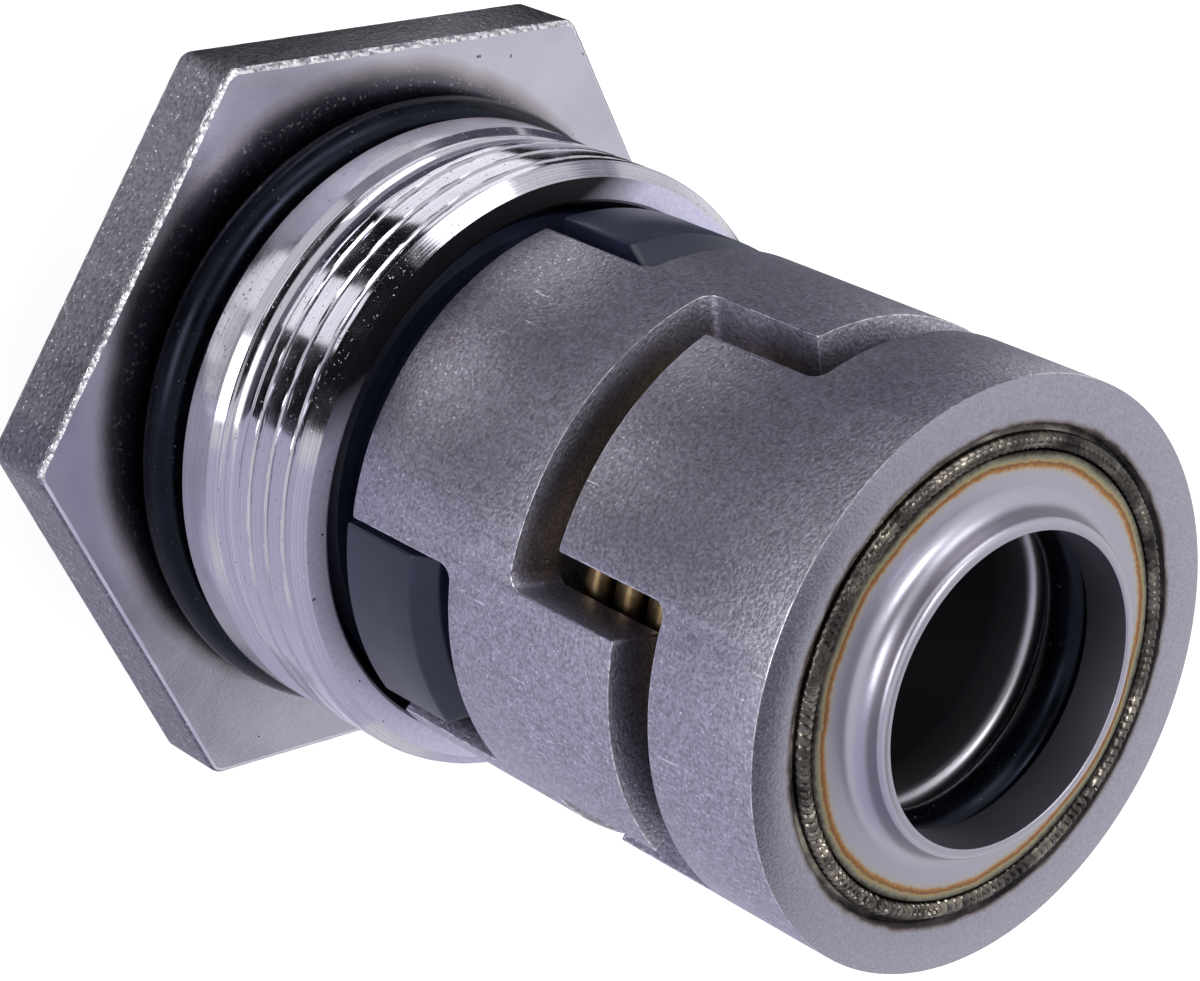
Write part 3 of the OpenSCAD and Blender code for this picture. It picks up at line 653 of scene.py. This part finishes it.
# The castings' outer edges, rubbed bright by handling and painted brighter as edge highlights
rubbed_and_highlit_edge, tree, surface, place = start("rubbed_and_highlit_edge", 1.0)
wear = add(tree, "ShaderNodeTexNoise", {"Vector": place, "Scale": per(0.35), "Detail": 3}).outputs["Fac"]
shade = add(tree, "ShaderNodeValToRGB", {"Fac": wear}, [(0.35, "#8f8c96"), (0.6, "#d6d4db")])
plug(tree, surface, {"Base Color": shade.outputs["Color"], "Roughness": 0.26})

carrier_tops = [
    (tooth_turn - notch_half, carrier_high.z, tooth_corner),
    (tooth_turn - notch_half, carrier_floor, notch_corner),
    (tooth_turn + notch_half, carrier_floor, notch_corner),
    (tooth_turn + notch_half, carrier_high.z, tooth_corner)]
carrier_bottoms = [
    (notch_turn - low_half, carrier_low.z, tooth_corner),
    (notch_turn - low_half, lug_floor, notch_corner),
    (notch_turn + low_half, lug_floor, notch_corner),
    (notch_turn + low_half, carrier_low.z, tooth_corner)]
carrier_outline = castellated(carrier_tops, carrier_bottoms, -5, 368)
bm = rolled_wall(carrier_outline, driver_r, driver_wall, cut_edge, wall_columns)
for vert in bm.verts:
    if vert.co.y > driver_wall - 0.3 and vert.co.z < web_top - 1:
        vert.co.y -= 0.9
roll(bm, driver_r)
turn(bm, rounded([(web_bore_r, web_bottom), (web_r, web_bottom), (web_r, web_top),
                  (web_bore_r, web_top, 0.2)]))
piece("carrier_casting", bm, "carrier", ["ring_carrier"], "sintered_steel", sintered_steel, rubbed_and_highlit_edge)


# The spring: round stainless wire wound to four turns, between the carrier's web and the housing's.
# Seen through the window it is a dark straw gold.

# Drawn spring wire, tempered to a straw colour and dulled by oil
spring_wire, tree, surface, place = start("spring_wire", 1.0)
die = add(tree, "ShaderNodeTexNoise", {"Vector": place, "Scale": per(0.5), "Detail": 3}).outputs["Fac"]
shade = add(tree, "ShaderNodeValToRGB", {"Fac": die}, [(0.3, "#5c4c36"), (0.7, "#7c6c50")])
plug(tree, surface, {"Base Color": shade.outputs["Color"], "Roughness": 0.32})

spring_low, spring_high = reach("spring")
wire_r = 0.975
wire_start = -105
coil_r = spring_high.x - wire_r
turns = 4
steps = 72 * turns
rise = spring_high.z - spring_low.z - 2 * wire_r
bm = bmesh.new()
bmesh.ops.create_circle(bm, cap_ends=True, radius=wire_r, segments=16)
for vert in bm.verts:
    vert.co = (coil_r + vert.co.x, 0, spring_low.z + wire_r + vert.co.y)
bmesh.ops.rotate(bm, verts=bm.verts, cent=(0, 0, 0),
                 matrix=Quaternion((0, 0, 1), radians(wire_start)).to_matrix())
bmesh.ops.spin(bm, geom=bm.verts[:] + bm.edges[:] + bm.faces[:], cent=(0, 0, 0), axis=(0, 0, 1),
               dvec=(0, 0, rise / steps), angle=2 * pi * turns, steps=steps)
coil = piece("coil_spring", bm, "rotor", ["spring"], "spring_steel", spring_wire)
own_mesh(coil)


# The spring housing: the other castellated ring, of the same sintered steel, with a turned end face.
# The weld lies in a recess in that face, and a web below holds the sleeve and backs the spring.

# The turned end face: even lavender grey, finely scuffed, and darker along its inner edge beside the weld
end_steel, tree, surface, place = start("end_steel", 1.0)
scuff = add(tree, "ShaderNodeTexNoise", {"Vector": place, "Scale": per(0.16), "Detail": 3}).outputs["Fac"]
smoke = add(tree, "ShaderNodeTexNoise", {"Vector": place, "Scale": per(1.2), "Detail": 3}).outputs["Fac"]
flat = add(tree, "ShaderNodeVectorMath", {0: place, 1: (1, 1, 0)}, operation="MULTIPLY")
radius = add(tree, "ShaderNodeVectorMath", {0: flat.outputs["Vector"]}, operation="LENGTH")
wander = add(tree, "ShaderNodeMapRange", {"Value": smoke, "To Min": -0.0002, "To Max": 0.0002})
moved = add(tree, "ShaderNodeMath", {0: radius.outputs["Value"], 1: wander.outputs["Result"]},
            operation="ADD")
# Darker towards the face's inner edge, beside the weld
across = add(tree, "ShaderNodeMapRange", {"Value": moved.outputs["Value"],
                                          "From Min": 0.0127, "From Max": 0.0131})
inner_edge_dark = add(tree, "ShaderNodeValToRGB", {"Fac": across.outputs["Result"]}, [
    (0.0, "#2c2725"), (0.35, "#84776b"), (0.7, "#e4dcd2"), (1.0, "#ffffff")])
shade = add(tree, "ShaderNodeValToRGB", {"Fac": scuff}, [(0.3, "#8f8d9b"), (0.7, "#a3a1b0")])
darkened_inner_edge = add(tree, "ShaderNodeMix", {"Factor": 1.0, "A": shade.outputs["Color"], "B": inner_edge_dark.outputs["Color"]},
            data_type="RGBA", blend_type="MULTIPLY")
gloss = add(tree, "ShaderNodeMapRange", {"Value": scuff, "From Min": 0.3, "From Max": 0.7,
                                         "To Min": 0.22, "To Max": 0.3})
rough = add(tree, "ShaderNodeBump", {"Height": scuff, "Distance": 0.000009})
plug(tree, surface, {"Base Color": darkened_inner_edge.outputs["Result"], "Roughness": gloss.outputs["Result"],
                     "Normal": rough.outputs["Normal"]})

housing_low, housing_high = reach("spring_housing")
housing_floor = housing_high.z - 7.15
recess_r = 12.8
cap_low, cap_high = reach("drive_cap")
recess_floor = cap_low.z
recess_overlap = 0.05
chamber_r = 11.15
chamber_floor = recess_floor - 3.55
back_bore_r = 9.05
back_r = 12.1
back_under = recess_floor - 5.55
back_step = recess_floor - 0.4
housing_bottoms = [
    (tooth_turn + tooth_half, housing_low.z, tooth_corner),
    (tooth_turn + tooth_half, housing_floor, notch_corner),
    (tooth_turn + 120 - tooth_half, housing_floor, notch_corner),
    (tooth_turn + 120 - tooth_half, housing_low.z, tooth_corner)]
housing_tops = [(60, housing_high.z, 0)]
housing_outline = castellated(housing_tops, housing_bottoms, -2, 365)
bm = rolled_wall(housing_outline, driver_r, driver_wall, cut_edge, wall_columns)
for face in bm.faces:
    if face.normal.z > 0.9 and face.calc_center_median().z > housing_high.z - 0.02:
        face.material_index = 2
for vert in bm.verts:
    if vert.co.y > driver_wall - 0.2 and vert.co.z > housing_high.z - 0.2:
        vert.co.y = driver_r - recess_r
        vert.co.z = min(vert.co.z, housing_high.z - 0.06)
roll(bm, driver_r)
turn(bm, [(back_bore_r, back_under), (back_r, back_under), (back_r, back_step),
          (recess_r + recess_overlap, back_step), (recess_r + recess_overlap, recess_floor),
          (chamber_r, recess_floor), (chamber_r, chamber_floor), (back_bore_r, chamber_floor)])
piece("housing_casting", bm, "rotor", ["spring_housing"], "sintered_steel",
      sintered_steel, rubbed_and_highlit_edge, end_steel)


# The drive cap: a stainless flange stamped from sheet, with a neck drawn up in the middle. It is welded
# into the housing's end, and the heat has left rings of brown, straw and soot on it.

# Satin stainless with the colours that the heat of a weld leaves, in rings from plain steel through
# orange brown and straw to soot
heat_steel, tree, surface, place = start("heat_steel", 1.0)
flat = add(tree, "ShaderNodeVectorMath", {0: place, 1: (1, 1, 0)}, operation="MULTIPLY")
radius = add(tree, "ShaderNodeVectorMath", {0: flat.outputs["Vector"]}, operation="LENGTH")
broad = add(tree, "ShaderNodeTexNoise", {"Vector": place, "Scale": per(4), "Detail": 2}).outputs["Fac"]
ragged = add(tree, "ShaderNodeTexNoise", {"Vector": place, "Scale": per(0.3), "Detail": 3}).outputs["Fac"]
wander = add(tree, "ShaderNodeMapRange", {"Value": broad, "To Min": -0.0003, "To Max": 0.0003})
waver = add(tree, "ShaderNodeMapRange", {"Value": ragged, "To Min": -0.00014, "To Max": 0.00014})
both = add(tree, "ShaderNodeMath", {0: wander.outputs["Result"], 1: waver.outputs["Result"]}, operation="ADD")
moved = add(tree, "ShaderNodeMath", {0: radius.outputs["Value"], 1: both.outputs["Value"]}, operation="ADD")
across = add(tree, "ShaderNodeMapRange", {"Value": moved.outputs["Value"],
                                          "From Min": 0.0104, "From Max": 0.0116})
colours = add(tree, "ShaderNodeValToRGB", {"Fac": across.outputs["Result"]}, [
    (0.0, "#a9a7b4"), (0.2, "#ada69f"), (0.34, "#a3743f"), (0.45, "#7c5845"), (0.55, "#a39169"),
    (0.68, "#7f7f72"), (0.82, "#4b443d"), (0.95, "#1e1c1c")])
brushed = add(tree, "ShaderNodeTexNoise", {"Vector": place, "Scale": per(0.2), "Detail": 3}).outputs["Fac"]
rough = add(tree, "ShaderNodeBump", {"Height": brushed, "Distance": 0.000006})
plug(tree, surface, {"Base Color": colours.outputs["Color"], "Roughness": 0.36,
                     "Normal": rough.outputs["Normal"]})

bore_r = 8.05
neck_r = bore_r + 0.65
flange_r = 11.5
flange_top = cap_low.z + 0.9
ridge_r = 9.95
foot = 1.1
bm = bmesh.new()
turn(bm, rounded([(bore_r, cap_low.z), (flange_r, cap_low.z), (flange_r, flange_top, 0.15),
                  (ridge_r + 0.15, flange_top), (ridge_r, flange_top + 0.02),
                  (neck_r, flange_top, foot), (neck_r, cap_high.z, 0.4), (bore_r, cap_high.z, 0.08)], 8))
piece("drive_cap_pressing", bm, "rotor", ["drive_cap"], "steel", heat_steel)


# The weld: a bead run round the flange in one pass, with overlapping ripples like a row of coins.

# Stainless weld metal, dark and sooty in the hollows of its ripples and bright on their crests
weld_metal, tree, surface, place = start("weld_metal", 1.0)
bloom = add(tree, "ShaderNodeTexNoise", {"Vector": place, "Scale": per(1.6), "Detail": 3}).outputs["Fac"]
scale = add(tree, "ShaderNodeTexNoise", {"Vector": place, "Scale": per(0.16), "Detail": 3}).outputs["Fac"]
shade = add(tree, "ShaderNodeValToRGB", {"Fac": bloom}, [
    (0.3, "#2b2827"), (0.5, "#57534f"), (0.7, "#8d857a")])
gloss = add(tree, "ShaderNodeMapRange", {"Value": bloom, "From Min": 0.3, "From Max": 0.7,
                                         "To Min": 0.36, "To Max": 0.18})
rough = add(tree, "ShaderNodeBump", {"Height": scale, "Distance": 0.00002})
plug(tree, surface, {"Base Color": shade.outputs["Color"], "Roughness": gloss.outputs["Result"],
                     "Normal": rough.outputs["Normal"]})

bead_r = 0.45
bead_at = 11.97
bead_z = housing_high.z - 0.15
ripples = 165
root_in = 11.55
root_out = 12.75
root_z = cap_low.z + 0.05
bm = bmesh.new()
section = [(bead_at + bead_r * cos(radians(a)), bead_z + bead_r * sin(radians(a)))
           for a in range(-30, 211, 15)]
turn(bm, [(root_out, root_z), (root_out, root_z + 0.3)] + section + [(root_in, root_z)],
     steps=ripples * 6)
for vert in bm.verts:
    r = hypot(vert.co.x, vert.co.y)
    lift = (vert.co.z - bead_z) / bead_r
    if lift > -0.5:
        angle = atan2(vert.co.y, vert.co.x)
        bow = 0.7 * ((r - bead_at) / bead_r) ** 2
        wander = noise.noise(Vector((5 * cos(angle), 5 * sin(angle), 0)))
        phase = angle * ripples / (2 * pi) + bow + 1.2 * wander
        wave = phase - floor(phase)
        vert.co.z -= (0.03 + 0.07 * (1 + wander)) * wave * wave * (lift + 0.5)
        vert.co.z -= 0.03 * (1 + wander) * (lift + 0.5)
piece("weld_run", bm, "rotor", ["weld_bead"], "weld", weld_metal)
ring_of_rubber("shaft_seal_ring", "shaft_o_ring", "rotor")


# The studio: a pale floor, a white surround, soft lamps, cards beside the seal that only its
# mirror-like surfaces see, and the camera of the photograph, turned well over on its side.

camera_place = Vector((0.13829, -0.00057, 0.16507))
camera_target = Vector((0.0, -0.00022, 0.03182))
camera_turn = 115.44
camera_lens = 108.3

shot = bpy.data.cameras.new("camera")
shot.lens = camera_lens
shot.sensor_width = 36
shot.clip_start = 0.01
camera = bpy.data.objects.new("camera", shot)
camera.location = camera_place
ahead = (camera_target - camera_place).to_track_quat("-Z", "Y")
camera.rotation_mode = "QUATERNION"
camera.rotation_quaternion = ahead @ Quaternion((0, 0, 1), radians(camera_turn))
bpy.context.collection.objects.link(camera)
bpy.context.scene.camera = camera


def softbox(name, place, size, power):
    """A soft lamp at a place in metres that faces the seal."""
    lamp = bpy.data.lights.new(name, "AREA")
    lamp.shape = "RECTANGLE"
    lamp.size, lamp.size_y = size
    lamp.energy = power
    held = bpy.data.objects.new(name, lamp)
    held.location = place
    held.rotation_mode = "QUATERNION"
    held.rotation_quaternion = (camera_target - held.location).to_track_quat("-Z", "Y")
    bpy.context.collection.objects.link(held)


softbox("lamp_top", (0.2, -0.42, 0.22), (0.3, 0.2), 0.55)
softbox("lamp_left", (0.42, 0.12, 0.12), (0.2, 0.15), 0.5)
softbox("lamp_front", (0.12, -0.16, 0.42), (0.12, 0.12), 0.5)


def shone(name, hexa, strength):
    """A plain material of a colour that shines by itself at a strength."""
    material = bpy.data.materials.new(name)
    material.use_nodes = True
    surface = material.node_tree.nodes["Principled BSDF"]
    surface.inputs["Base Color"].default_value = (0, 0, 0, 1)
    surface.inputs["Specular IOR Level"].default_value = 0
    surface.inputs["Emission Color"].default_value = tint(hexa)
    surface.inputs["Emission Strength"].default_value = strength
    return material


def glossy_only(name, bm, material):
    """Makes a stage card that only reflections see."""
    mesh = bpy.data.meshes.new(name)
    bm.to_mesh(mesh)
    bm.free()
    mesh.materials.append(material)
    made = bpy.data.objects.new(name, mesh)
    made.visible_camera = False
    made.visible_diffuse = False
    made.visible_shadow = False
    bpy.context.collection.objects.link(made)


def card(name, material, from_turn, to_turn, near, far):
    """A card on the floor, mirrored by the seal's side from one angle to another; near and far in mm."""
    bm = bmesh.new()
    inner = []
    outer = []
    steps = 12
    for k in range(steps + 1):
        a = radians(from_turn + (to_turn - from_turn) * k / steps)
        for line, out in ((inner, near), (outer, far)):
            line.append(bm.verts.new((mirror_r * cos(a) + out / 1000 * cos(2 * a),
                                      mirror_r * sin(a) + out / 1000 * sin(2 * a), card_lift)))
    for k in range(steps):
        bm.faces.new((inner[k], outer[k], outer[k + 1], inner[k + 1]))
    glossy_only(name, bm, material)


# Black and white cards by turns, near the seal, make the dark and bright bands on the thread. The dim
# ones behind them shade the driver, whose height mirrors the floor further out.
mirror_r = 0.0165
card_lift = 0.0005
black_card = shone("black_card", "#1c1a1c", 1.0)
dim_card = shone("dim_card", "#62616f", 1.0)
grey_card = shone("grey_card", "#85838e", 1.0)
low_card = shone("low_card", "#a5a4b0", 1.0)
dusk_card = shone("dusk_card", "#5e5c6c", 1.0)
white_card = shone("white_card", "#ffffff", 1.6)
lavender_card = shone("lavender_card", "#c8c7d9", 1.25)
card("card_hexagon", black_card, -95, -30, 5, 17)
card("card_top", black_card, -100, -58, 17, 32)
card("card_behind_top", dim_card, -100, -58, 32, 90)
card("card_bright_upper", white_card, -57, -31, 17, 28)
card("card_behind_upper", dim_card, -57, -31, 28, 300)
card("card_dark_upper", black_card, -31, -15, 17, 32)
card("card_behind_dark", dim_card, -31, -15, 32, 300)
card("card_bright_middle", white_card, -15, -3, 17, 28)
card("card_behind_middle", grey_card, -15, -3, 28, 300)
card("card_dark_middle", black_card, -3, 14, 17, 30)
card("card_behind_lower", dim_card, -3, 14, 30, 300)
card("card_lower", lavender_card, 14, 95, 8, 250)


def wall(name, material, place, size):
    """An upright card at a place in metres that faces the seal."""
    bm = bmesh.new()
    bmesh.ops.create_grid(bm, x_segments=1, y_segments=1, size=0.5)
    bmesh.ops.scale(bm, vec=(size[0], size[1], 1), verts=bm.verts)
    held = Vector(place)
    turned = (camera_target - held).to_track_quat("-Z", "Y").to_matrix()
    bmesh.ops.rotate(bm, verts=bm.verts, cent=(0, 0, 0), matrix=turned)
    bmesh.ops.translate(bm, verts=bm.verts, vec=held)
    glossy_only(name, bm, material)


# In turn, the walls shade what faces the camera, tint the lower side in the picture, shade the faces
# that look up along the shaft, and shade the upper side of the driver
wall("wall_camera", black_card, (0.38, -0.12, 0.4), (0.62, 0.26))
wall("wall_side", lavender_card, (0.1, 0.5, 0.25), (1.0, 0.5))
wall("wall_far", dusk_card, (-0.48, 0.18, 0.85), (0.5, 0.4))
wall("wall_low", low_card, (0.06, -0.42, 0.06), (0.55, 0.16))

floor_material = bpy.data.materials.new("pale_floor")
floor_material.use_nodes = True
tree = floor_material.node_tree
rays = add(tree, "ShaderNodeLightPath")
seen = add(tree, "ShaderNodeMath", {0: rays.outputs["Is Camera Ray"], 1: 0.65}, operation="MULTIPLY")
glow = add(tree, "ShaderNodeMath", {0: rays.outputs["Is Glossy Ray"], 1: 0.5, 2: seen.outputs["Value"]},
           operation="MULTIPLY_ADD")
plug(tree, tree.nodes["Principled BSDF"], {
    "Base Color": tint("#e6e6e6"), "Roughness": 0.9, "Specular IOR Level": 0.0,
    "Emission Color": (1, 1, 1, 1), "Emission Strength": glow.outputs["Value"]})
bm = bmesh.new()
bmesh.ops.create_grid(bm, x_segments=1, y_segments=1, size=1.5)
floor_mesh = bpy.data.meshes.new("pale_floor")
bm.to_mesh(floor_mesh)
bm.free()
floor_mesh.materials.append(floor_material)
pale_floor = bpy.data.objects.new("pale_floor", floor_mesh)
bpy.context.collection.objects.link(pale_floor)

world = bpy.data.worlds.new("white_surround")
bpy.context.scene.world = world
world.use_nodes = True
tree = world.node_tree
rays = add(tree, "ShaderNodeLightPath")
seen = add(tree, "ShaderNodeMath", {0: rays.outputs["Is Camera Ray"], 1: rays.outputs["Is Transmission Ray"]},
           operation="MAXIMUM")
any_seen = add(tree, "ShaderNodeMath", {0: seen.outputs["Value"], 1: rays.outputs["Is Glossy Ray"]},
               operation="MAXIMUM")
strength = add(tree, "ShaderNodeMapRange", {"Value": any_seen.outputs["Value"], "To Min": 0.55})
plug(tree, tree.nodes["Background"], {"Color": (1, 1, 1, 1), "Strength": strength.outputs["Result"]})

bpy.context.scene.view_settings.view_transform = "Standard"
